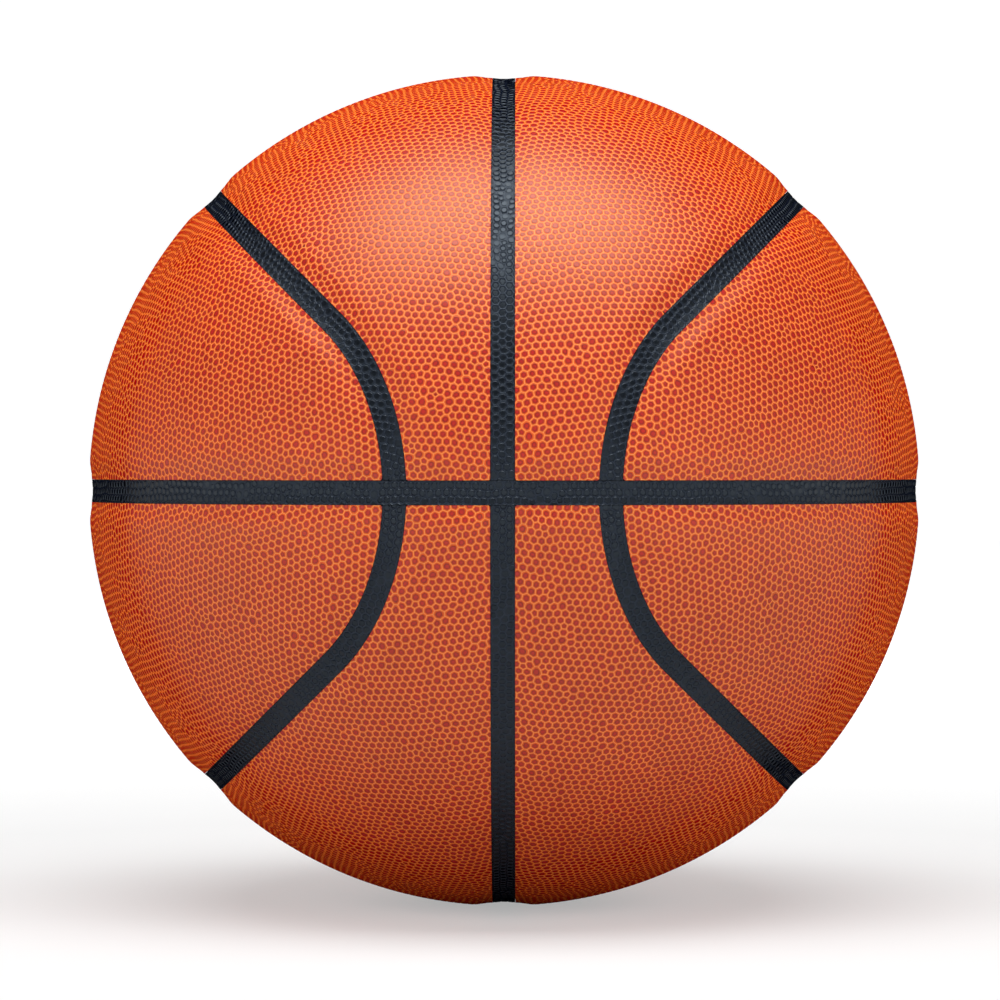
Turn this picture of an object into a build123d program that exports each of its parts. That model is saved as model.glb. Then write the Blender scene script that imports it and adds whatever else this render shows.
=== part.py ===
"""Basketball: pebbled cover panels and channel strips over cushion, carcass, winding, bladder and valve.

Millimetres and degrees. The origin is the centre of the ball, +Z is up, the horizontal channel lies in the
XY plane, the vertical channel in the YZ plane, and the two curved channels run round the +X and -X poles.
"""

import os
from math import atan2, cos, pi, radians, sin, sqrt

from build123d import *

# Ball and cover
ball_diameter = 238.5
panel_thickness = 1.8
panel_corner_radius = 1.2
panel_roll_width = 5.3
channel_width = 6.35
channel_depth = 1.1
butt_gap = 0.1

# Angles from a side pole to its curved channel, where it crosses the horizontal one and over the top of the ball
curve_front_angle = 76.2
curve_top_angle = 45.0

# Layers under the cover, from the outside in, with a glue line between neighbours
glue_line = 0.1
cushion_thickness = 1.0
carcass_thickness = 0.6
winding_thickness = 0.6
bladder_thickness = 0.8

# Valve, in the vertical channel behind the ball, below the horizontal one
valve_drop_angle = 24.0
core_diameter = 5.0
core_length = 17.0
core_clearance = 0.05
core_recess = 0.2
needle_bore_diameter = 2.1
needle_bore_length = 13.0
needle_mouth_chamfer = 0.4
slit_width = 0.3
slit_length = 3.0
housing_wall = 2.5
housing_floor = 2.0
housing_air_hole_diameter = 3.4
housing_flange_diameter = 27.0
housing_flange_thickness = 1.6
housing_tip_chamfer = 0.8

# Room that a cutting shape takes beyond what it cuts
overrun = 2.0

# How far a panel's slope is cut past its two ends, as a share of its run
roll_overrun_share = 0.5

# Radii of the layers
ball_radius = ball_diameter / 2
strip_radius = ball_radius - channel_depth
cover_base_radius = ball_radius - panel_thickness
cushion_radius = cover_base_radius - glue_line
carcass_radius = cushion_radius - cushion_thickness - glue_line
winding_radius = carcass_radius - carcass_thickness - glue_line
bladder_radius = winding_radius - winding_thickness - glue_line
bladder_inner_radius = bladder_radius - bladder_thickness

# Distances from a channel's centre line to the strip's edge and to the panel's edge
strip_edge = channel_width / 2
panel_edge = strip_edge + butt_gap

# Valve places along its axis, measured from the centre of the ball
core_radius = core_diameter / 2
core_bore_radius = core_radius + core_clearance
stem_radius = core_bore_radius + housing_wall
stem_hole_radius = stem_radius + glue_line
core_top = strip_radius - core_recess
core_bottom = core_top - core_length
housing_top = sqrt(cushion_radius**2 - stem_radius**2)
housing_bottom = core_bottom - core_clearance - housing_floor
flange_top = bladder_inner_radius - glue_line
valve_plane = Plane(
    origin=(0, 0, 0),
    x_dir=(1, 0, 0),
    z_dir=(0, cos(radians(valve_drop_angle)), -sin(radians(valve_drop_angle))),
)

os.makedirs("parts", exist_ok=True)


# Channels, as arcs round axes through the centre of the ball: (axis, angle to the channel, start, turn).
# A curved channel is a great circle over the top, rounded by a smaller circle at the front and, as a mirror
# image, at the back.

front_angle = radians(curve_front_angle)
top_angle = radians(curve_top_angle)
round_angle = atan2(sin(top_angle) * cos(front_angle), 1 - sin(top_angle) * sin(front_angle))
over_axis = Vector(sin(top_angle), 0, -cos(top_angle))
round_axis = Vector(cos(front_angle - round_angle), -sin(front_angle - round_angle), 0)
round_start = (round_axis - over_axis * sin(round_angle)) / cos(round_angle)
round_end = Vector(round_start.X, round_start.Y, -round_start.Z)
round_middle = round_axis * cos(round_angle)
round_turn = (round_start - round_middle).get_angle(round_end - round_middle)
over_start = Vector(round_start.X, -round_start.Y, round_start.Z)
over_turn = over_start.get_angle(round_start)

horizontal_channel = [(Vector(0, 0, 1), pi / 2, Vector(0, 1, 0), 360)]
vertical_channel = [(Vector(1, 0, 0), pi / 2, Vector(0, 1, 0), 360)]
curved_channel = [
    (over_axis, pi / 2, over_start, over_turn),
    (round_axis, round_angle, round_start, round_turn),
]


def section_point(angle, offset, radius):
    """Point of a channel's section at this distance from its middle, + towards the axis, and this radius."""
    height = sqrt(radius**2 - offset**2)
    return Vector(height * cos(angle) + offset * sin(angle), height * sin(angle) - offset * cos(angle))


def carried(channel, section):
    """Solid that carries a section round each arc of a channel; section(angle) draws its outline."""
    with BuildPart() as solid:
        for axis, angle, start, turn in channel:
            with BuildSketch(Plane(origin=(0, 0, 0), x_dir=axis, z_dir=axis.cross(start))):
                with BuildLine():
                    section(angle)
                make_face()
            revolve(axis=Axis((0, 0, 0), axis), revolution_arc=turn)
    return solid.part


def gap_section(angle):
    """The whole gap between two panels, through the cover."""
    Polyline(
        section_point(angle, panel_edge, cover_base_radius - overrun),
        section_point(angle, panel_edge, ball_radius + overrun),
        section_point(angle, -panel_edge, ball_radius + overrun),
        section_point(angle, -panel_edge, cover_base_radius - overrun),
        close=True,
    )


def roll_section(side):
    """Outline above the slope on which a panel's edge rolls down to the strip; side is 1 towards the axis."""
    def outline(angle):
        low = section_point(angle, side * panel_edge, strip_radius)
        high = section_point(angle, side * (panel_edge + panel_roll_width), ball_radius)
        run = (high - low) * roll_overrun_share
        rise = high.normalized() * (channel_depth + overrun)
        Polyline(low - run, high + run, high + run + rise, low - run + rise, close=True)
    return outline


def strip_section(angle):
    """The strip that lines a channel."""
    top, base = [
        ThreePointArc(*[section_point(angle, offset, radius) for offset in (-strip_edge, 0, strip_edge)])
        for radius in (strip_radius, cover_base_radius)
    ]
    Line(top @ 0, base @ 0)
    Line(top @ 1, base @ 1)


# Cover panels: the front halves of the two on the upper right, and their mirror images

with BuildPart() as cover_eighth:
    Sphere(ball_radius)
    Sphere(cover_base_radius, mode=Mode.SUBTRACT)
    for plane in (Plane.XY, Plane.YZ, Plane.XZ):
        split(bisect_by=plane, keep=Keep.TOP)
    for channel in (horizontal_channel, vertical_channel, curved_channel):
        add(carried(channel, gap_section), mode=Mode.SUBTRACT)
centre_blank, side_blank = cover_eighth.part.solids().sort_by(Axis.X)

with BuildPart() as side_panel:
    add(side_blank)
    fillet(side_panel.edges().sort_by(SortBy.LENGTH)[:4].sort_by(Axis.Y)[:1], panel_corner_radius)
    add(carried(horizontal_channel, roll_section(1)), mode=Mode.SUBTRACT)
    add(carried(curved_channel, roll_section(1)), mode=Mode.SUBTRACT)
    mirror(about=Plane.XZ)

with BuildPart() as centre_panel:
    add(centre_blank)
    fillet(centre_panel.edges().sort_by(SortBy.LENGTH)[:5].sort_by(Axis.Y)[:2], panel_corner_radius)
    add(carried(horizontal_channel, roll_section(1)), mode=Mode.SUBTRACT)
    add(carried(vertical_channel, roll_section(1)), mode=Mode.SUBTRACT)
    add(carried(curved_channel, roll_section(-1)), mode=Mode.SUBTRACT)
    mirror(about=Plane.XZ)


# Channel strips: the horizontal ring runs through, the others butt against it

with BuildPart() as horizontal_strip:
    add(carried(horizontal_channel, strip_section))

with BuildPart() as vertical_strip:
    add(carried(vertical_channel, strip_section))
    split(bisect_by=Plane.XY, keep=Keep.TOP)
    add(carried(horizontal_channel, gap_section), mode=Mode.SUBTRACT)

with BuildPart() as vertical_strip_lower:
    mirror(vertical_strip.part, about=Plane.XY)
    with Locations(valve_plane):
        Cylinder(
            core_bore_radius,
            ball_radius,
            align=(Align.CENTER, Align.CENTER, Align.MIN),
            mode=Mode.SUBTRACT,
        )

with BuildPart() as curved_strip:
    add(carried(curved_channel, strip_section))
    for plane in (Plane.XY, Plane.XZ):
        split(bisect_by=plane, keep=Keep.TOP)
    add(carried(horizontal_channel, gap_section), mode=Mode.SUBTRACT)
    mirror(about=Plane.XZ)


# Layers under the cover

def layer(radius, thickness):
    """Hollow ball with the valve stem's hole through it."""
    with BuildPart() as shell:
        Sphere(radius)
        Sphere(radius - thickness, mode=Mode.SUBTRACT)
        with Locations(valve_plane):
            Cylinder(
                stem_hole_radius,
                radius + overrun,
                align=(Align.CENTER, Align.CENTER, Align.MIN),
                mode=Mode.SUBTRACT,
            )
    return shell.part


# Valve: the housing's stem, its flange against the inside of the bladder, and the core that slides in it

with BuildPart() as valve_housing:
    with BuildSketch(Plane.XZ):
        with BuildLine():
            Polyline(
                (housing_air_hole_diameter / 2, housing_bottom),
                (stem_radius - housing_tip_chamfer, housing_bottom),
                (stem_radius, housing_bottom + housing_tip_chamfer),
                (stem_radius, housing_top),
                (core_bore_radius, housing_top),
                (core_bore_radius, core_bottom - core_clearance),
                (housing_air_hole_diameter / 2, core_bottom - core_clearance),
                close=True,
            )
        make_face()
    revolve(axis=Axis.Z)
    with BuildSketch(Plane.XZ) as flange_section:
        Circle(flange_top)
        Circle(flange_top - housing_flange_thickness, mode=Mode.SUBTRACT)
        with Locations((core_bore_radius, 0)):
            Rectangle(
                housing_flange_diameter / 2 - core_bore_radius,
                ball_radius,
                align=(Align.MIN, Align.MIN),
                mode=Mode.INTERSECT,
            )
    revolve(axis=Axis.Z)

with BuildPart() as valve_core:
    with Locations((0, 0, core_bottom)):
        Cylinder(core_radius, core_length, align=(Align.CENTER, Align.CENTER, Align.MIN))
    with Locations((0, 0, core_top)):
        Cylinder(
            needle_bore_diameter / 2,
            needle_bore_length,
            align=(Align.CENTER, Align.CENTER, Align.MAX),
            mode=Mode.SUBTRACT,
        )
    chamfer(valve_core.edges().group_by(Axis.Z)[-1].sort_by(SortBy.LENGTH)[0], needle_mouth_chamfer)
    with Locations((0, 0, core_bottom)):
        Box(
            slit_length,
            slit_width,
            core_length - needle_bore_length,
            align=(Align.CENTER, Align.CENTER, Align.MIN),
            mode=Mode.SUBTRACT,
        )


# Every piece under its own name

pieces = {
    "side_panel_right_upper": side_panel.part,
    "side_panel_left_upper": side_panel.part.mirror(Plane.YZ),
    "side_panel_right_lower": side_panel.part.mirror(Plane.XY),
    "side_panel_left_lower": side_panel.part.mirror(Plane.XY).mirror(Plane.YZ),
    "centre_panel_right_upper": centre_panel.part,
    "centre_panel_left_upper": centre_panel.part.mirror(Plane.YZ),
    "centre_panel_right_lower": centre_panel.part.mirror(Plane.XY),
    "centre_panel_left_lower": centre_panel.part.mirror(Plane.XY).mirror(Plane.YZ),
    "channel_strip_horizontal": horizontal_strip.part,
    "channel_strip_vertical_upper": vertical_strip.part,
    "channel_strip_vertical_lower": vertical_strip_lower.part,
    "channel_strip_curved_right_upper": curved_strip.part,
    "channel_strip_curved_left_upper": curved_strip.part.mirror(Plane.YZ),
    "channel_strip_curved_right_lower": curved_strip.part.mirror(Plane.XY),
    "channel_strip_curved_left_lower": curved_strip.part.mirror(Plane.XY).mirror(Plane.YZ),
    "sponge_cushion": layer(cushion_radius, cushion_thickness),
    "rubber_carcass": layer(carcass_radius, carcass_thickness),
    "nylon_winding": layer(winding_radius, winding_thickness),
    "butyl_bladder": layer(bladder_radius, bladder_thickness),
    "valve_housing": valve_plane.location * valve_housing.part,
    "valve_core": valve_plane.location * valve_core.part,
}
for node, piece in pieces.items():
    piece.label = node
    export_step(piece, f"parts/{node}.step")
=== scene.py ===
import math
import random

import bmesh
import bpy
import numpy as np
from bpy.props import FloatProperty, FloatVectorProperty, IntProperty, PointerProperty
from bpy.types import Operator, Panel, PropertyGroup
from mathutils import Matrix, Vector


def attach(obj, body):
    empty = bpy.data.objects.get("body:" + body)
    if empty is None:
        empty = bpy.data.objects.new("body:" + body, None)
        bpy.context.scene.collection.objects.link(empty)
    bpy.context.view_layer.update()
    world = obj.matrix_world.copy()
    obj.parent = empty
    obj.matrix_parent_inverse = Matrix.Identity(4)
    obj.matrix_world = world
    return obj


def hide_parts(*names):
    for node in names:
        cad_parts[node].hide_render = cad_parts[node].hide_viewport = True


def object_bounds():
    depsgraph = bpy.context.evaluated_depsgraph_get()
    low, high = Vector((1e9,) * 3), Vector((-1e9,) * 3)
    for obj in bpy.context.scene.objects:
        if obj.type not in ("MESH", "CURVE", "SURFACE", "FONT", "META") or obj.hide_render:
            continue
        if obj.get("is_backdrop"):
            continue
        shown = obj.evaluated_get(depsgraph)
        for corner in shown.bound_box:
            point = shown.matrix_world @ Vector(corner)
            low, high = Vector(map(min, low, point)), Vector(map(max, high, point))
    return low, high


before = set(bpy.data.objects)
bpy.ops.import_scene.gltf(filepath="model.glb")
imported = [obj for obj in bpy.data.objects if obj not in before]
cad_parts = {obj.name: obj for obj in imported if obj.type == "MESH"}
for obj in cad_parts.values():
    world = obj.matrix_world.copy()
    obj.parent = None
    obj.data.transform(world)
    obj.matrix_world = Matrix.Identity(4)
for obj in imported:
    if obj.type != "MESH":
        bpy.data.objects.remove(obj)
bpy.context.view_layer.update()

bl_info = {
    "name": "Basketball",
    "version": (1, 0, 0),
    "blender": (4, 5, 0),
    "location": "3D View > Sidebar > Basketball",
    "description": "Pebbled cover panels, channel strips, valve and studio for a full-size basketball",
    "category": "Add Mesh",
}

MM = 0.001
BALL_BODY = "ball"
SIDES = {"right": 1, "left": -1}
LEVELS = {"upper": 1, "lower": -1}

# Rings of a pebble's cell, from the crease it shares with its neighbours to the crown, and the share of the
# pebble's height that each ring has. The crease is a thin ridge in the middle of the valley.
UNDERSIDE, CREASE, MOAT, SHOULDER, CROWN = range(-1, 4)
RING_HEIGHTS = (0.5, 0.0, 0.94, 1.0)

# The pebbled sheet: its points are shaken by a share of the pitch, settled, calmed and evened out
SHAKE, SHAKE_ROUNDS, SHAKE_SETTLE = 0.36, 3, 0.3
CALM_ROUNDS, CALM_SETTLE = 2, 0.5
EVEN_ROUNDS = 3
FIXED_GIRTH = 0.35  # share of a pebble's girth that doesn't follow the size of its cell
ROUNDNESS = 0.35  # share of a circle in a pebble's outline; the rest is its cell, made smaller
CELL_SCALE = 0.8
CUT_SLACK = 0.004  # mm within which a point counts as lying on a cut

# Panels: degrees from the ball's top to the middle of a panel, and a sheet's width in ball radii
PANEL_MIDDLES = {"side": 67.5, "centre": 22.5}
SHEET_WIDTH = 0.9

# Smooth land round the valve's hole and where it blends into the pebbles, in mm; its share of a pebble's height
LAND, LAND_BLEND, LAND_HEIGHT = 0.5, 0.9, 0.55
HOLE_SIDES = 32

# UV map for baking: the outside lies above UV_OUTSIDE, edge and underside below UV_UNDER
UV_OUTSIDE, UV_UNDER = 0.06, 0.04

# Print of a pebble, in rings of its cell: how far its edge wavers; and the half width of the crease's line, a paler
# line that is a painted highlight on the ridge
WAVER, CREASE_HIGHLIGHT_HALF_WIDTH = 0.9, 0.45
PRINT_STOPS = (0.57, 0.63, 0.73, 0.8)  # shares of the way from the crease to the crown where the print changes
VALLEY_ROUGHER = 0.2
GLOSS_FADE = (0.26, 0.62)  # how far the surface is turned away where its gloss begins and ends to fade

# Studio, in metres and watts. The paper is lifted to white far from the ball and less close to it.
ROOM, WALL_HEIGHT = 6.0, 1.2
PAPERS = (("studio_floor", 0.4, 0.95), ("studio_wall", 0.95, 0.95))
LIFT_AWAY, LIFT_RAY = (0.3, 1.2), (0.3, 0.9)
KEY = "key_softbox"
LAMPS = (
    (KEY, (0.0, -0.25, 1.3), 1.5, 1.0, 20.0),
    ("front_left_softbox", (-1.45, -1.5, 0.6), 2.4, 1.6, 18.5),
    ("front_right_softbox", (1.45, -1.5, 0.6), 2.4, 1.6, 18.5),
    ("back_left_softbox", (-1.5, 1.45, 0.6), 2.4, 1.6, 7.5),
    ("back_right_softbox", (1.5, 1.45, 0.6), 2.4, 1.6, 7.5),
)
SKY = 0.12

# Camera at the photograph's place: distance in ball radii, angles in degrees
CAMERA_DISTANCE, CAMERA_ELEVATION, CAMERA_AZIMUTH = 10, 0.33, 0.2
CAMERA_LENS, CAMERA_SHIFT = 148.8, (-0.0042, -0.0097)


# Sizes and colours

class BallSizes(PropertyGroup):
    """Sizes of the ball"""

    diameter: FloatProperty(
        name="Ball diameter", description="Across the pebble tops", default=238.5 * MM, unit="LENGTH")
    cover: FloatProperty(
        name="Cover thickness", description="From the pebble tops to the glue", default=1.8 * MM, unit="LENGTH")
    channel_width: FloatProperty(
        name="Channel width", description="Width of a channel strip", default=6.35 * MM, unit="LENGTH")
    channel_depth: FloatProperty(
        name="Channel depth", description="From the pebble tops to a strip", default=1.1 * MM, unit="LENGTH")
    butt_gap: FloatProperty(
        name="Butt gap", description="Between a strip and what it meets", default=0.1 * MM, unit="LENGTH")
    front_angle: FloatProperty(
        name="Curve at the front", description="From a side pole to its curved channel on the horizontal one",
        default=math.radians(76.2), unit="ROTATION")
    top_angle: FloatProperty(
        name="Curve over the top", description="From a side pole to its curved channel over the top",
        default=math.radians(45), unit="ROTATION")
    roll: FloatProperty(
        name="Edge roll", description="Width over which a panel rolls down to a channel",
        default=6.0 * MM, unit="LENGTH")
    edge_stand: FloatProperty(
        name="Edge stand", description="Height of a panel's edge above the strip's middle",
        default=0.3 * MM, unit="LENGTH")
    corner: FloatProperty(
        name="Corner radius", description="Rounding of a panel's corners", default=0.6 * MM, unit="LENGTH")
    pitch: FloatProperty(
        name="Pebble pitch", description="From one pebble to the next", default=2.18 * MM, unit="LENGTH")
    pebble: FloatProperty(
        name="Pebble height", description="Height of a pebble on a panel", default=0.13 * MM, unit="LENGTH")
    strip_pebble: FloatProperty(
        name="Strip pebble height", description="Height of a pebble on a strip", default=0.2 * MM, unit="LENGTH")
    moat: FloatProperty(
        name="Moat width", description="From a pebble's foot to the crease", default=0.26 * MM, unit="LENGTH")
    top: FloatProperty(
        name="Pebble top", description="Diameter of a pebble at its shoulder", default=1.3 * MM, unit="LENGTH")
    valve_drop: FloatProperty(
        name="Valve drop", description="From the horizontal channel down to the valve",
        default=math.radians(24), unit="ROTATION")
    valve_hole: FloatProperty(
        name="Valve hole", description="Diameter of the hole for the valve's core", default=5.1 * MM, unit="LENGTH")
    seed: IntProperty(name="Sheet seed", description="Which stretch of the sheet is cut", default=7)


def colour(name, description, hex_value):
    """Colour property with an sRGB hex default."""
    return FloatVectorProperty(
        name=name, description=description, subtype="COLOR", size=4, min=0, max=1, default=linear(hex_value))


def linear(hex_value):
    """Linear colour for an sRGB hex value such as "c0392b"."""
    parts = [int(hex_value[i:i + 2], 16) / 255 for i in (0, 2, 4)]
    return [p / 12.92 if p <= 0.04045 else ((p + 0.055) / 1.055) ** 2.4 for p in parts] + [1.0]


class BallColours(PropertyGroup):
    """Colours of the ball"""

    crown: colour("Pebble crown", "Top of a panel's pebbles", "ba121a")
    shoulder: colour("Pebble shoulder", "Rim of a panel's pebbles", "8c0310")
    moat: colour("Moat", "Valley round a panel's pebbles", "e24e04")
    # Paler than the moat: a painted highlight on the crease's ridge
    crease: colour("Crease", "Thin line between two valleys", "ffba62")
    strip: colour("Strip", "Channel strips", "0a0f1b")
    # Strip tops darker as a painted dark reflection, strip creases greyer as a painted highlight
    strip_crown_dark_reflection: colour("Strip crown", "Top of a strip's pebbles", "03050c")
    strip_crease_highlight: colour("Strip crease", "Thin line between a strip's pebbles", "222834")
    panel_gloss: colour("Panel gloss", "Tint of a panel's reflections", "ffeccc")
    strip_gloss: colour("Strip gloss", "Tint of a strip's reflections", "d8ecff")
    rubber: colour("Rubber", "Valve rubber", "111214")
    sponge: colour("Sponge", "Cushion under the cover", "3a352e")
    carcass: colour("Carcass", "Carcass rubber", "262524")
    nylon: colour("Nylon", "Winding", "e0dccb")
    bladder: colour("Bladder", "Butyl bladder", "1b1b1d")
    floor: colour("Floor", "Studio floor", "c0c0c0")


# Channels

class Seams:
    """The channels, in millimetres. A curved one is a great circle over the top and a smaller one at each end."""

    def __init__(self, sizes):
        self.radius = sizes.diameter / MM / 2
        self.strip_radius = self.radius - sizes.channel_depth / MM
        self.base_radius = self.radius - sizes.cover / MM
        self.strip_edge = sizes.channel_width / MM / 2
        self.panel_edge = self.strip_edge + sizes.butt_gap / MM
        front, top = sizes.front_angle, sizes.top_angle
        self.over_axis = Vector((math.sin(top), 0, -math.cos(top)))
        self.round_angle = math.atan2(math.sin(top) * math.cos(front), 1 - math.sin(top) * math.sin(front))
        self.round_axis = Vector((math.cos(front - self.round_angle), -math.sin(front - self.round_angle), 0))
        self.front = Vector((math.cos(front), -math.sin(front), 0))
        self.join = (self.round_axis - self.over_axis * math.sin(self.round_angle)) / math.cos(self.round_angle)
        self.join_normal = self.over_axis.cross(self.round_axis).normalized()
        if self.join_normal.dot(Vector((0, -1, 0))) < 0:
            self.join_normal = -self.join_normal

    def fold(self, points):
        """Points brought to the front upper right eighth of the ball."""
        return np.abs(points) * (1, -1, 1)

    def curve_offset(self, points):
        """Distance from the curved channel's middle, + towards the side pole, for points of the ball."""
        folded = self.fold(points)
        length = np.linalg.norm(folded, axis=1)
        over = folded @ np.array(self.over_axis)
        angle = np.arccos(np.clip(folded @ np.array(self.round_axis) / length, -1, 1))
        rounded = length * np.sin(self.round_angle - angle)
        return np.where(folded @ np.array(self.join_normal) > 0, rounded, over)

    def distances(self, points):
        """Distances from the middles of the horizontal, vertical and curved channels."""
        return np.abs(points[:, 2]), np.abs(points[:, 0]), np.abs(self.curve_offset(points))


# Pebbled sheet

def settle(bm, verts, share):
    """Moves points towards the middle of their neighbours and renews the triangles between them."""
    if share:
        bmesh.ops.smooth_vert(bm, verts=verts, factor=share, use_axis_x=True, use_axis_y=True, use_axis_z=True)
    bmesh.ops.beautify_fill(
        bm, faces=bm.faces[:], edges=[e for e in bm.edges if not e.is_boundary], method="AREA")


def even_out(bm, inside):
    """Moves each inner point to the middle of the area round it, so that all get the same room."""
    bm.verts.index_update()
    points = coordinates(bm)
    corners = np.fromiter((v.index for f in bm.faces for v in f.verts), int, 3 * len(bm.faces))
    a, b, c = points[corners].reshape(-1, 3, 3).transpose(1, 0, 2)
    area = np.linalg.norm(np.cross(b - a, c - a), axis=1)
    weights = np.repeat(area, 3)
    total = np.bincount(corners, weights)
    for axis in range(2):
        moment = np.bincount(corners, weights * np.repeat((a + b + c)[:, axis] / 3, 3))
        points[inside, axis] = (moment / total)[inside]
    move_to(bm, points)


def pebble_sheet(length, width, sizes, seed):
    """Flat sheet of pebble cells: a lattice of points, shaken and evened out, with one cell round each point."""
    rng = random.Random(seed)
    pitch = sizes.pitch / MM
    row = pitch * math.sqrt(3) / 2
    columns = math.ceil(length / pitch) + 6
    rows = math.ceil(width / row) + 6
    bm = bmesh.new()
    bmesh.ops.create_grid(
        bm, x_segments=columns, y_segments=rows, size=0.5,
        matrix=Matrix.Diagonal((columns * pitch, rows * row, 1, 1)))
    for v in bm.verts:
        v.co.x += pitch / 4 * (1 if round(v.co.y / row + rows / 2) % 2 else -1)
    bmesh.ops.triangulate(bm, faces=bm.faces[:], quad_method="SHORT_EDGE")

    inner = [v for v in bm.verts if not v.is_boundary]
    for _ in range(SHAKE_ROUNDS):
        for v in inner:
            v.co.x += rng.uniform(-SHAKE, SHAKE) * pitch
            v.co.y += rng.uniform(-SHAKE, SHAKE) * pitch
        settle(bm, inner, SHAKE_SETTLE)
    for _ in range(CALM_ROUNDS):
        settle(bm, inner, CALM_SETTLE)
    inside = np.array([not v.is_boundary for v in bm.verts])
    for _ in range(EVEN_ROUNDS):
        even_out(bm, inside)
        settle(bm, inner, 0)

    lattice = [e for e in bm.edges if not e.is_boundary]
    border = [v for v in bm.verts if v.is_boundary]
    bmesh.ops.poke(bm, faces=bm.faces[:])
    bmesh.ops.rotate_edges(bm, edges=lattice)
    bmesh.ops.delete(bm, geom=border, context="VERTS")
    bmesh.ops.dissolve_verts(bm, verts=[v for v in inner if v.is_valid and not v.is_boundary])
    tone = bm.faces.layers.float.new("tone")
    girth = bm.faces.layers.float.new("girth")
    middle = bm.faces.layers.float_vector.new("middle")
    for f in bm.faces:
        f[tone] = rng.random()
        f[girth] = FIXED_GIRTH + (1 - FIXED_GIRTH) * math.sqrt(f.calc_area() / (pitch * row))
        f[middle] = f.calc_center_median()
    return bm


def raise_pebbles(bm, sizes):
    """Divides each cell into moat, wall and crown, rounds the pebble and marks every point with its ring."""
    ring = bm.verts.layers.float.new("ring")
    flat = bm.verts.layers.float_vector.new("flat")
    girth = bm.faces.layers.float["girth"]
    middle = bm.faces.layers.float_vector["middle"]
    cells = bm.faces[:]
    bmesh.ops.inset_individual(bm, faces=cells, thickness=sizes.moat / MM, use_even_offset=True)
    for cell in cells:
        for v in cell.verts:
            v[ring] = MOAT
    bmesh.ops.inset_individual(bm, faces=cells, thickness=0, use_even_offset=True)
    radius = sizes.top / MM / 2
    for cell in cells:
        centre = cell[middle]
        for v in cell.verts:
            v[ring] = SHOULDER
            out = v.co - centre
            circle = radius * cell[girth] / out.length
            v.co = centre + out * (ROUNDNESS * circle + (1 - ROUNDNESS) * CELL_SCALE)
    for v in bmesh.ops.poke(bm, faces=cells)["verts"]:
        v[ring] = CROWN
    for v in bm.verts:
        v[flat] = v.co


def coordinates(bm):
    """Places of all the points as an array."""
    return np.fromiter((x for v in bm.verts for x in v.co), float, 3 * len(bm.verts)).reshape(-1, 3)


def move_to(bm, points):
    """Moves all the points to the places in an array."""
    for v, point in zip(bm.verts, points):
        v.co = point


def keep_cells(bm, depth):
    """Deletes the cells that lie wholly outside; depth gives each point's distance inside the edge."""
    inside = depth > 0
    bm.verts.index_update()
    gone = [f for f in bm.faces if not any(inside[v.index] for v in f.verts)]
    bmesh.ops.delete(bm, geom=gone, context="FACES")


def face_middles(faces):
    """Middles of faces as an array."""
    return np.fromiter(
        (x for f in faces for x in f.calc_center_median()), float, 3 * len(faces)).reshape(-1, 3)


def cut(bm, faces, point, normal, clear=True):
    """Cuts these faces along a plane, clears what lies beyond it and returns the faces that are left."""
    geom = list({v for f in faces for v in f.verts}) + list({e for f in faces for e in f.edges}) + faces
    left = bmesh.ops.bisect_plane(
        bm, geom=geom, dist=CUT_SLACK, plane_co=point, plane_no=normal, clear_outer=clear)["geom"]
    return [f for f in left if f.is_valid and isinstance(f, bmesh.types.BMFace)]


def cut_where(bm, faces, near, point, normal):
    """Cuts along a plane those of the faces that near picks by their middles; returns all that are left."""
    picked = near(face_middles(faces))
    left = cut(bm, [f for f, here in zip(faces, picked) if here], point, normal)
    return left + [f for f, here in zip(faces, picked) if not here and f.is_valid]


def round_corner(bm, faces, corner, normals, radius):
    """Rounds a corner of a cut sheet with three cuts; normals point out of its two edges. Returns the rest."""
    first, second = normals
    centre = corner - (first + second) * radius / (1 + first.dot(second))

    def by_corner(middles):
        return np.linalg.norm(middles - np.array(corner), axis=1) < 4 * radius

    for share in (0.25, 0.5, 0.75):
        out = first.slerp(second, share)
        faces = cut_where(bm, faces, by_corner, centre + out * radius, out)
    return faces


def close_below(bm):
    """Gives a cut sheet its edge and its underside."""
    ring = bm.verts.layers.float["ring"]
    bmesh.ops.delete(bm, geom=[v for v in bm.verts if not v.link_faces], context="VERTS")
    faces, verts = bm.faces[:], bm.verts[:]
    plain = [v for v in verts if v[ring] > CREASE and not v.is_boundary]
    bmesh.ops.extrude_face_region(bm, geom=faces, use_keep_orig=True)
    bmesh.ops.reverse_faces(bm, faces=faces)
    for v in verts:
        v[ring] = UNDERSIDE
    bmesh.ops.dissolve_verts(bm, verts=plain)


def values(data, name, width=1, kind=np.float32):
    """All the values of one property of a mesh's points, edges, faces or corners."""
    found = np.zeros(len(data) * width, kind)
    data.foreach_get(name, found)
    return found.reshape(-1, width) if width > 1 else found


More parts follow.
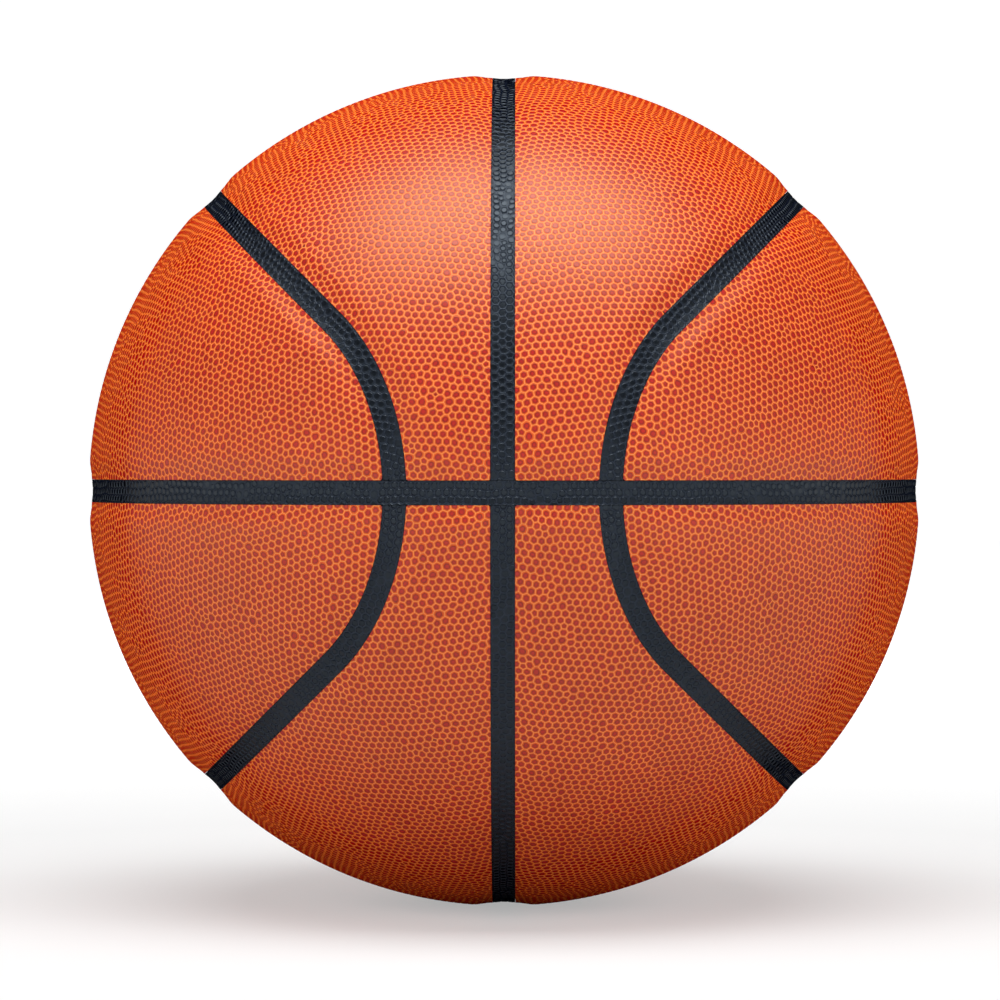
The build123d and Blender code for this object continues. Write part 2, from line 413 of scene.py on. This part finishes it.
def finish_piece(bm, node_name, material, mirror, spread, heights):
    """Sets the heights of a finished sheet and makes the object that rides on the ball and stands for a node."""
    name = f"pebbled_{node_name}"
    mesh = bpy.data.meshes.new(name)
    bm.to_mesh(mesh)
    bm.free()
    points = values(mesh.vertices, "co", 3).astype(float)
    ring = values(mesh.attributes["ring"].data, "value")
    flat = values(mesh.attributes["flat"].data, "vector", 3)
    unit = points / np.linalg.norm(points, axis=1)[:, None]
    rise = np.interp(ring, range(4), RING_HEIGHTS)
    points = unit * heights(unit, rise, flat, ring < CREASE)[:, None]
    mesh.vertices.foreach_set("co", (points * MM).ravel())
    mesh.transform(Matrix.Diagonal((mirror[0], 1, mirror[1], 1)))
    if mirror[0] * mirror[1] < 0:
        mesh.flip_normals()
    mesh.shade_smooth()
    mesh.set_sharp_from_angle(angle=math.radians(60))
    # The crease and the rim of each flat top are crisp
    first, second = ring[values(mesh.edges, "vertices", 2, np.int32)].T
    crisp = (first == second) & np.isin(first, (CREASE, SHOULDER))
    mesh.edges.foreach_set("use_edge_sharp", crisp | values(mesh.edges, "use_edge_sharp", kind=bool))

    # The outside is mapped as the sheet lay flat, edge and underside in a narrow band below it
    corner = values(mesh.loops, "vertex_index", kind=np.int32)
    starts = values(mesh.polygons, "loop_start", kind=np.int32)
    sides = values(mesh.polygons, "loop_total", kind=np.int32)
    uv = flat[corner, :2] / spread + 0.5
    outside = np.repeat(np.minimum.reduceat(ring[corner], starts) >= CREASE, sides)
    uv[:, 1] = np.where(outside, UV_OUTSIDE + (1 - UV_OUTSIDE) * uv[:, 1], UV_UNDER * uv[:, 1])
    mesh.uv_layers.new(name="OFBake").data.foreach_set("uv", uv.ravel())
    for spare in ("flat", "middle", "girth"):
        mesh.attributes.remove(mesh.attributes[spare])

    mesh.materials.append(bpy.data.materials[material])
    piece = bpy.data.objects.new(name, mesh)
    bpy.context.collection.objects.link(piece)
    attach(piece, BALL_BODY)
    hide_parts(node_name)


# Materials

def node(tree, kind, settings=None, **links):
    """Adds a node; settings are its attributes, links its inputs by socket name, as values or other sockets."""
    made = tree.nodes.new(kind)
    for key, value in (settings or {}).items():
        setattr(made, key, value)
    for key, value in links.items():
        socket = made.inputs[int(key[1:])] if key[0] == "_" else made.inputs[key.replace("_", " ")]
        if isinstance(value, bpy.types.NodeSocket):
            tree.links.new(value, socket)
        else:
            socket.default_value = value
    return made


def shader(name):
    """New material with a Principled shader."""
    material = bpy.data.materials.new(name)
    material.use_nodes = True
    tree = material.node_tree
    return material, tree, tree.nodes["Principled BSDF"]


def pebbled_leather(name, shades, edge, roughness, specular, tint):
    """Embossed microfibre composite: pebble tops in their own colour (printed on the panels, a painted dark
    reflection on the strips), finely grained, with a dull tacky gloss; the crease's paler line is a painted highlight
    and the dark cut edge is painted shade.
    """
    _, tree, bsdf = shader(name)
    ring = node(tree, "ShaderNodeAttribute", {"attribute_name": "ring"}).outputs["Fac"]
    tone = node(tree, "ShaderNodeAttribute", {"attribute_name": "tone"}).outputs["Fac"]
    place = node(tree, "ShaderNodeTexCoord").outputs["Object"]
    # Print on the panels, a painted dark reflection on the strips' tops: from the crease up to the crown, with edges
    # that waver by a fraction of a pebble, about 0.9 mm
    waver = node(tree, "ShaderNodeTexNoise", Vector=place, Scale=1 / (0.9 * MM), Detail=1.0).outputs["Fac"]
    height = node(tree, "ShaderNodeMath", {"operation": "MULTIPLY_ADD"}, _0=waver, _1=WAVER, _2=ring).outputs[0]
    share = node(
        tree, "ShaderNodeMapRange", Value=height, From_Min=WAVER / 2, From_Max=WAVER / 2 + CROWN).outputs[0]
    crown, shoulder, moat, crease = shades
    printed = node(tree, "ShaderNodeValToRGB", Fac=share)
    stops = printed.color_ramp.elements
    for position in PRINT_STOPS:
        stops.new(position)
    for stop, value in zip(stops, (moat, moat, shoulder, shoulder, crown, crown)):
        stop.color = value
    # The crease's paler line is a painted highlight: light caught on the ridge, put into the colour
    line = node(
        tree, "ShaderNodeMapRange", Value=ring, From_Max=CREASE_HIGHLIGHT_HALF_WIDTH, To_Min=1.0, To_Max=0.0).outputs[0]
    base = node(
        tree, "ShaderNodeMix", {"data_type": "RGBA"}, Factor=line, _6=printed.outputs["Color"],
        _7=crease).outputs["Result"]
    # Each pebble took the print a little differently, and the sheet drifts slowly over 40 mm
    drift = node(tree, "ShaderNodeTexNoise", Vector=place, Scale=1 / (40 * MM), Detail=2.0).outputs["Fac"]
    both = node(tree, "ShaderNodeMath", {"operation": "MULTIPLY_ADD"}, _0=tone, _1=0.5, _2=drift).outputs[0]
    value = node(
        tree, "ShaderNodeMapRange", Value=both, From_Min=0.3, From_Max=1.2, To_Min=0.9, To_Max=1.1).outputs[0]
    toned = node(tree, "ShaderNodeHueSaturation", Color=base, Value=value).outputs[0]
    # The cut edge, which stands across the ball's surface, is painted dark: painted shade in the gap between a panel
    # and its strip
    out = node(tree, "ShaderNodeVectorMath", {"operation": "NORMALIZE"}, _0=place).outputs["Vector"]
    faces = node(tree, "ShaderNodeNewGeometry").outputs["True Normal"]
    across = node(tree, "ShaderNodeVectorMath", {"operation": "DOT_PRODUCT"}, _0=out, _1=faces).outputs["Value"]
    edge_shade_mask = node(tree, "ShaderNodeMath", {"operation": "LESS_THAN"}, _0=across, _1=0.4).outputs[0]
    edge_shaded = node(
        tree, "ShaderNodeMix", {"data_type": "RGBA"}, Factor=edge_shade_mask, _6=toned, _7=edge).outputs["Result"]
    tree.links.new(edge_shaded, bsdf.inputs["Base Color"])
    # Hair-fine grain of the release paper, about 0.25 mm
    fine = node(tree, "ShaderNodeTexNoise", Vector=place, Scale=1 / (0.25 * MM), Detail=3.0).outputs["Fac"]
    bump = node(tree, "ShaderNodeBump", Strength=0.35, Distance=0.03 * MM, Height=fine)
    tree.links.new(bump.outputs[0], bsdf.inputs["Normal"])
    gloss = node(
        tree, "ShaderNodeMapRange", Value=share, To_Min=roughness + VALLEY_ROUGHER, To_Max=roughness).outputs[0]
    tree.links.new(gloss, bsdf.inputs["Roughness"])
    # The grain breaks up the reflection where the surface turns away
    turned = node(tree, "ShaderNodeLayerWeight", Blend=0.5).outputs["Facing"]
    shine = node(
        tree, "ShaderNodeMapRange", {"interpolation_type": "SMOOTHSTEP"}, Value=turned,
        From_Min=GLOSS_FADE[0], From_Max=GLOSS_FADE[1], To_Min=specular, To_Max=0.0).outputs[0]
    tree.links.new(shine, bsdf.inputs["Specular IOR Level"])
    bsdf.inputs["Specular Tint"].default_value = tint


def moulded(name, value, roughness, grain_mm, specular=0.5):
    """Plain moulded or foamed sheet with a grain of this size and a faint change of shade over 15 mm."""
    material, tree, bsdf = shader(name)
    place = node(tree, "ShaderNodeTexCoord").outputs["Object"]
    cloud = node(tree, "ShaderNodeTexNoise", Vector=place, Scale=1 / (15 * MM), Detail=3.0).outputs["Fac"]
    shade = node(tree, "ShaderNodeMapRange", Value=cloud, To_Min=0.8, To_Max=1.2).outputs[0]
    toned = node(tree, "ShaderNodeHueSaturation", Color=value, Value=shade).outputs[0]
    tree.links.new(toned, bsdf.inputs["Base Color"])
    grain = node(tree, "ShaderNodeTexNoise", Vector=place, Scale=1 / (grain_mm * MM), Detail=2.0).outputs["Fac"]
    bump = node(tree, "ShaderNodeBump", Strength=0.4, Distance=0.1 * grain_mm * MM, Height=grain)
    tree.links.new(bump.outputs[0], bsdf.inputs["Normal"])
    bsdf.inputs["Roughness"].default_value = roughness
    bsdf.inputs["Specular IOR Level"].default_value = specular
    return material


def wound_nylon(colours):
    """Nylon thread wound in all directions: fine parallel lines, about 0.5 mm apart, crossing at random."""
    material, tree, bsdf = shader("wound_nylon_thread")
    place = node(tree, "ShaderNodeTexCoord").outputs["Object"]
    threads = [
        node(tree, "ShaderNodeTexWave", {"bands_direction": axis}, Vector=place, Scale=1 / (0.5 * MM) / 20,
             Distortion=1.5, Detail=1.0).outputs["Fac"]
        for axis in ("X", "Z")
    ]
    laid = node(tree, "ShaderNodeMath", {"operation": "MAXIMUM"}, _0=threads[0], _1=threads[1]).outputs[0]
    shade = node(tree, "ShaderNodeMapRange", Value=laid, To_Min=0.65, To_Max=1.05).outputs[0]
    toned = node(tree, "ShaderNodeHueSaturation", Color=colours.nylon, Value=shade).outputs[0]
    tree.links.new(toned, bsdf.inputs["Base Color"])
    bump = node(tree, "ShaderNodeBump", Strength=0.6, Distance=0.1 * MM, Height=laid)
    tree.links.new(bump.outputs[0], bsdf.inputs["Normal"])
    bsdf.inputs["Roughness"].default_value = 0.6
    return material


# Panels

def panel_place(direction):
    """Maps a flat sheet onto the ball: the sheet's long middle line lies on a great circle along Y."""
    middle = np.array((math.sin(direction), 0, math.cos(direction)))
    along = np.array((0, 1, 0))
    across = np.cross(middle, along)

    def wrap(flat, radius):
        u, v = flat[:, :1] / radius, flat[:, 1:2] / radius
        return radius * (np.cos(v) * (np.cos(u) * middle + np.sin(u) * along) + np.sin(v) * across)

    return wrap


def make_panel(kind, side, level, sizes, seed):
    """One cover panel, cut from a pebbled sheet wrapped on the ball."""
    seams = Seams(sizes)
    edge, radius = seams.panel_edge, seams.radius
    is_side = kind == "side"
    wrap = panel_place(math.radians(PANEL_MIDDLES[kind]))

    def depth(points):
        """Distance inside the panel's edges, on the upper right of the ball."""
        curve = seams.curve_offset(points) * (1 if is_side else -1) - edge
        inside = np.minimum(curve, points[:, 2] - edge)
        return inside if is_side else np.minimum(inside, points[:, 0] - edge)

    spread = (math.pi * radius, SHEET_WIDTH * radius)
    bm = pebble_sheet(spread[0], spread[1], sizes, seed)
    keep_cells(bm, depth(wrap(coordinates(bm), radius)))
    raise_pebbles(bm, sizes)
    move_to(bm, wrap(coordinates(bm), radius))

    turn = -1 if is_side else 1
    angle = seams.round_angle + turn * math.asin(edge / radius)
    down, inwards = Vector((0, 0, -1)), Vector((-1, 0, 0))
    near = 2 * sizes.pitch / MM
    faces = bm.faces[:]
    faces = [faces[i] for i in np.flatnonzero(depth(face_middles(faces)) < near)]
    faces = cut_where(bm, faces, lambda p: p[:, 2] < edge + near, down * -edge, down)
    if not is_side:
        faces = cut_where(bm, faces, lambda p: p[:, 0] < edge + near, inwards * -edge, inwards)

    def beside_curve(middles, end):
        """Faces by the curved channel: over the top for 0, at the front for 1, at the back for -1."""
        ahead = [middles @ np.array(seams.join_normal * Vector((1, sign, 1))) > 0 for sign in (1, -1)]
        here = ~ahead[0] & ~ahead[1] if end == 0 else ahead[0 if end > 0 else 1]
        return here & (np.abs(seams.curve_offset(middles)) < edge + near)

    for end in (1, -1):
        axis = seams.round_axis * Vector((1, end, 1))
        faces = cut_where(bm, faces, lambda p: beside_curve(p, end), axis * radius * math.cos(angle), axis * turn)
    faces = cut_where(bm, faces, lambda p: beside_curve(p, 0), seams.over_axis * -turn * edge, seams.over_axis * turn)
    for end in (1, -1):
        flip = Vector((1, end, 1))
        axis = seams.round_axis * flip
        away = (seams.front * flip - axis * axis.dot(seams.front * flip)).normalized()
        reach = math.sqrt((radius * math.sin(angle)) ** 2 - edge ** 2)
        corner = axis * radius * math.cos(angle) + away * reach - down * edge
        aside = (axis - corner * axis.dot(corner) / radius ** 2).normalized() * turn
        faces = round_corner(bm, faces, corner, (down, aside), sizes.corner / MM)
        if not is_side:
            corner = Vector((edge, -end * math.sqrt(radius ** 2 - 2 * edge ** 2), edge))
            faces = round_corner(bm, faces, corner, (down, inwards), sizes.corner / MM)
    close_below(bm)

    def heights(unit, rise, flat, under):
        """Distance of every point from the ball's middle; the panel rolls down to its channels."""
        near = [np.clip(1 - (d - edge) / (sizes.roll / MM), 0, 1) for d in seams.distances(unit * radius)]
        roll = [n * n * (3 - 2 * n) for n in near]
        drop = np.clip(sum(r ** 4 for r in roll) ** 0.25, 0, 1) * (sizes.channel_depth - sizes.edge_stand) / MM
        return np.where(under, seams.base_radius, radius - drop + (rise - 1) * sizes.pebble / MM)

    finish_piece(
        bm, f"{kind}_panel_{side}_{level}", "composite_leather_panel", (SIDES[side], LEVELS[level]), spread,
        heights)


class BALL_OT_side_panels(Operator):
    """Adds the four D-shaped side panels"""

    bl_idname = "ball.side_panels"
    bl_label = "Side panels"

    def execute(self, context):
        sizes = context.scene.ball_sizes
        for number, (side, level) in enumerate((s, l) for s in SIDES for l in LEVELS):
            make_panel("side", side, level, sizes, sizes.seed + number)
        return {"FINISHED"}


class BALL_OT_centre_panels(Operator):
    """Adds the four panels between the vertical channel and the curved ones"""

    bl_idname = "ball.centre_panels"
    bl_label = "Centre panels"

    def execute(self, context):
        sizes = context.scene.ball_sizes
        for number, (side, level) in enumerate((s, l) for s in SIDES for l in LEVELS):
            make_panel("centre", side, level, sizes, sizes.seed + 10 + number)
        return {"FINISHED"}


# Channel strips

def strip_path(kind, seams):
    """Arcs of a strip, from the back over the top to the front: (axis, angle to the strip, start, length)."""
    radius = seams.radius
    if kind == "horizontal":
        return [(Vector((0, 0, 1)), math.pi / 2, Vector((0, 1, 0)), 2 * math.pi * radius)]
    if kind == "vertical":
        return [(Vector((1, 0, 0)), math.pi / 2, Vector((0, 1, 0)), math.pi * radius)]
    to_back = Vector((1, -1, 1))
    foot = seams.round_axis * math.cos(seams.round_angle)
    round_turn = (seams.join - foot).angle(seams.front - foot)
    over_turn = seams.join.angle(seams.join * to_back)
    round_length = round_turn * radius * math.sin(seams.round_angle)
    return [
        (seams.round_axis * to_back, seams.round_angle, seams.front * to_back, round_length),
        (seams.over_axis, math.pi / 2, seams.join * to_back, over_turn * radius),
        (seams.round_axis, seams.round_angle, seams.join, round_length),
    ]


def strip_place(path, radius):
    """Maps a flat strip onto the arcs of a channel, end to end."""
    starts = np.cumsum([0] + [length for *_, length in path]) - sum(length for *_, length in path) / 2

    def wrap(flat):
        arcs = np.clip(np.searchsorted(starts, flat[:, 0], side="right") - 1, 0, len(path) - 1)
        points = np.zeros((len(flat), 3))
        for number, (axis, angle, start, _) in enumerate(path):
            here = arcs == number
            out = (start - axis * axis.dot(start)).normalized()
            aside = axis.cross(out)
            turn = (flat[here, :1] - starts[number]) / (radius * math.sin(angle))
            tilt = angle - flat[here, 1:2] / radius
            points[here] = radius * (
                np.cos(tilt) * np.array(axis)
                + np.sin(tilt) * (np.cos(turn) * np.array(out) + np.sin(turn) * np.array(aside)))
        return points

    return wrap


def cut_round(bm, centre, radius):
    """Cuts a round hole in a flat sheet."""
    faces = [f for f in bm.faces if (f.calc_center_median() - centre).length < 2 * radius]
    for number in range(HOLE_SIDES):
        turn = 2 * math.pi * number / HOLE_SIDES
        out = Vector((math.cos(turn), math.sin(turn), 0))
        faces = cut(bm, faces, centre + out * radius, out, clear=False)
    gone = [f for f in faces if (f.calc_center_median() - centre).length < radius]
    bmesh.ops.delete(bm, geom=gone, context="FACES")


def make_strip(kind, node_name, mirror, sizes, seed, valve=False):
    """One channel strip, cut from a pebbled sheet and laid along its channel."""
    seams = Seams(sizes)
    path = strip_path(kind, seams)
    length = sum(arc[3] for arc in path)
    edge = seams.strip_edge
    bm = pebble_sheet(length, 2 * edge, sizes, seed)
    raise_pebbles(bm, sizes)
    for side in (1, -1):
        cut(bm, bm.faces[:], (0, side * edge, 0), (0, side, 0))
    hole = sizes.valve_hole / MM / 2
    valve_at = Vector((sizes.valve_drop * seams.radius - length / 2, 0, 0))
    if valve:
        cut_round(bm, valve_at, hole)
    if kind == "horizontal":
        half = length / 2 - sizes.butt_gap / MM / 2
        for end in (1, -1):
            cut(bm, bm.faces[:], (end * half, 0, 0), (end, 0, 0))
    move_to(bm, strip_place(path, seams.radius)(coordinates(bm)))
    if kind != "horizontal":
        cut(bm, bm.faces[:], (0, 0, seams.panel_edge), (0, 0, -1))
    close_below(bm)

    def heights(unit, rise, flat, under):
        """Distance from the ball's middle; the strip is hollow across, and pressed smooth round the valve."""
        if valve:
            pebbled = np.clip((np.linalg.norm(flat - valve_at, axis=1) - hole - LAND) / LAND_BLEND, 0, 1)
            rise = rise * pebbled + LAND_HEIGHT * (1 - pebbled)
        hollow = sizes.edge_stand / MM * (flat[:, 1] / edge) ** 2
        return np.where(under, seams.base_radius, seams.strip_radius + hollow + (rise - 1) * sizes.strip_pebble / MM)

    finish_piece(
        bm, node_name, "composite_leather_strip", mirror, (length + 1, 2 * edge + 0.1), heights)


class BALL_OT_straight_strips(Operator):
    """Adds the horizontal ring and the two vertical strips that butt against it"""

    bl_idname = "ball.straight_strips"
    bl_label = "Straight channel strips"

    def execute(self, context):
        sizes = context.scene.ball_sizes
        make_strip("horizontal", "channel_strip_horizontal", (1, 1), sizes, sizes.seed + 20)
        for number, (level, sign) in enumerate(LEVELS.items()):
            make_strip(
                "vertical", f"channel_strip_vertical_{level}", (1, sign), sizes, sizes.seed + 21 + number,
                valve=level == "lower")
        return {"FINISHED"}


class BALL_OT_curved_strips(Operator):
    """Adds the four strips that run round the side panels"""

    bl_idname = "ball.curved_strips"
    bl_label = "Curved channel strips"

    def execute(self, context):
        sizes = context.scene.ball_sizes
        for number, (side, level) in enumerate((s, l) for s in SIDES for l in LEVELS):
            make_strip(
                "curved", f"channel_strip_curved_{side}_{level}", (SIDES[side], LEVELS[level]), sizes,
                sizes.seed + 30 + number)
        return {"FINISHED"}


# Stage

class BALL_OT_stage(Operator):
    """Adds the floor, the soft light and the camera"""

    bl_idname = "ball.stage"
    bl_label = "Studio"

    def pale(self, name, value, near, far):
        """Matt white paper. From afar it is lifted to white, less near the ball, where it keeps the shadow."""
        material, tree, bsdf = shader(name)
        bsdf.inputs["Base Color"].default_value = value
        bsdf.inputs["Roughness"].default_value = 0.9
        bsdf.inputs["Specular IOR Level"].default_value = 0.0
        path = node(tree, "ShaderNodeLightPath")
        seen = path.outputs["Is Camera Ray"]
        for kind in ("Is Glossy Ray", "Is Transmission Ray"):
            seen = node(tree, "ShaderNodeMath", {"operation": "MAXIMUM"}, _0=seen, _1=path.outputs[kind]).outputs[0]
        place = node(tree, "ShaderNodeTexCoord").outputs["Object"]
        away = node(tree, "ShaderNodeVectorMath", {"operation": "LENGTH"}, _0=place).outputs["Value"]
        lift = node(
            tree, "ShaderNodeMapRange", Value=away, From_Min=LIFT_AWAY[0], From_Max=LIFT_AWAY[1],
            To_Min=near, To_Max=far).outputs[0]
        afar = node(
            tree, "ShaderNodeMapRange", Value=path.outputs["Ray Length"], From_Min=LIFT_RAY[0],
            From_Max=LIFT_RAY[1]).outputs[0]
        for share in (seen, afar):
            lift = node(tree, "ShaderNodeMath", {"operation": "MULTIPLY"}, _0=lift, _1=share).outputs[0]
        bsdf.inputs["Emission Color"].default_value = (1, 1, 1, 1)
        tree.links.new(lift, bsdf.inputs["Emission Strength"])
        return material

    def add_papers(self, context):
        """Round floor under the ball and a low wall round it."""
        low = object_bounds()[0][2]
        for name, near, far in PAPERS:
            bm = bmesh.new()
            if name == "studio_floor":
                bmesh.ops.create_circle(bm, cap_ends=True, segments=96, radius=ROOM)
                bmesh.ops.translate(bm, vec=(0, 0, low), verts=bm.verts[:])
            else:
                bmesh.ops.create_cone(bm, segments=96, radius1=ROOM, radius2=ROOM, depth=WALL_HEIGHT)
                bmesh.ops.translate(bm, vec=(0, 0, low + WALL_HEIGHT / 2), verts=bm.verts[:])
                bmesh.ops.reverse_faces(bm, faces=bm.faces[:])
            mesh = bpy.data.meshes.new(name)
            bm.to_mesh(mesh)
            bm.free()
            value = context.scene.ball_colours.floor
            mesh.materials.append(self.pale(name.replace("studio", "pale"), value, near, far))
            item = bpy.data.objects.new(name, mesh)
            context.collection.objects.link(item)
            item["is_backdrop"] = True

    def add_lamps(self, context):
        """Softboxes round the ball and a faint white sky."""
        for name, place, width, depth, power in LAMPS:
            lamp = bpy.data.lights.new(name, "AREA")
            lamp.shape = "RECTANGLE"
            lamp.size = width
            lamp.size_y = depth
            lamp.energy = power
            light = bpy.data.objects.new(name, lamp)
            light.location = place
            light.rotation_euler = (-Vector(place)).to_track_quat("-Z", "Y").to_euler()
            # Only the key shows as a highlight, as with polarised fill lamps
            light.visible_glossy = name == KEY
            context.collection.objects.link(light)
        world = bpy.data.worlds.new("studio")
        context.scene.world = world
        world.use_nodes = True
        background = world.node_tree.nodes["Background"]
        background.inputs["Color"].default_value = (1, 1, 1, 1)
        background.inputs["Strength"].default_value = SKY

    def add_camera(self, context):
        """Camera at the photograph's place."""
        distance = CAMERA_DISTANCE * context.scene.ball_sizes.diameter / 2
        elevation, azimuth = math.radians(CAMERA_ELEVATION), math.radians(CAMERA_AZIMUTH)
        camera_data = bpy.data.cameras.new("camera")
        camera_data.sensor_width = 36
        camera_data.lens = CAMERA_LENS
        camera_data.shift_x, camera_data.shift_y = CAMERA_SHIFT
        camera_data.clip_end = 50
        camera = bpy.data.objects.new("camera", camera_data)
        camera.location = distance * Vector((
            math.sin(azimuth) * math.cos(elevation), -math.cos(azimuth) * math.cos(elevation), math.sin(elevation)))
        camera.rotation_euler = (-camera.location).to_track_quat("-Z", "Y").to_euler()
        context.collection.objects.link(camera)
        context.scene.camera = camera

    def execute(self, context):
        self.add_papers(context)
        self.add_lamps(context)
        self.add_camera(context)
        context.scene.view_settings.view_transform = "Standard"
        return {"FINISHED"}


class BALL_OT_materials(Operator):
    """Makes the finishes and gives the inner layers theirs"""

    bl_idname = "ball.materials"
    bl_label = "Finishes"

    def execute(self, context):
        colours = context.scene.ball_colours
        # Panels: red tops with darker rims on orange, the crease paler still as a painted highlight on its ridge, the
        # cut edge dark as painted shade; a warm gloss from the finish's dye
        pebbled_leather(
            "composite_leather_panel", (colours.crown, colours.shoulder, colours.moat, colours.crease), colours.strip,
            0.32, 0.95, colours.panel_gloss)
        # Strips: blue-black all through; the darker tops are a painted dark reflection and the greyer creases a
        # painted highlight; a cool gloss
        pebbled_leather(
            "composite_leather_strip",
            (colours.strip_crown_dark_reflection, colours.strip_crown_dark_reflection, colours.strip, colours.strip_crease_highlight), colours.strip,
            0.3, 0.62, colours.strip_gloss)
        for names, finish in (
            (("valve_core", "valve_housing"), moulded("valve_rubber", colours.rubber, 0.5, 0.3)),
            (("sponge_cushion",), moulded("sponge_foam", colours.sponge, 0.9, 0.6, 0.1)),
            (("rubber_carcass",), moulded("carcass_rubber", colours.carcass, 0.6, 0.5)),
            (("nylon_winding",), wound_nylon(colours)),
            (("butyl_bladder",), moulded("butyl_rubber", colours.bladder, 0.35, 0.8)),
        ):
            for name in names:
                for material_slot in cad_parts[name].material_slots:
                    material_slot.link = "OBJECT"
                    material_slot.material = finish
        return {"FINISHED"}


class BALL_PT_sidebar(Panel):
    """Lists the ball's pieces in the sidebar"""

    bl_label = "Basketball"
    bl_idname = "BALL_PT_sidebar"
    bl_space_type = "VIEW_3D"
    bl_region_type = "UI"
    bl_category = "Basketball"

    def draw(self, context):
        for kind in OPERATORS:
            self.layout.operator(kind.bl_idname)


OPERATORS = (
    BALL_OT_materials, BALL_OT_side_panels, BALL_OT_centre_panels, BALL_OT_straight_strips,
    BALL_OT_curved_strips, BALL_OT_stage)
CLASSES = (BallSizes, BallColours, *OPERATORS, BALL_PT_sidebar)


def register():
    for kind in CLASSES:
        bpy.utils.register_class(kind)
    bpy.types.Scene.ball_sizes = PointerProperty(type=BallSizes)
    bpy.types.Scene.ball_colours = PointerProperty(type=BallColours)


def unregister():
    del bpy.types.Scene.ball_colours
    del bpy.types.Scene.ball_sizes
    for kind in reversed(CLASSES):
        bpy.utils.unregister_class(kind)


def main():
    register()
    for kind in OPERATORS:
        group, name = kind.bl_idname.split(".")
        getattr(getattr(bpy.ops, group), name)()


if __name__ == "__main__":
    main()
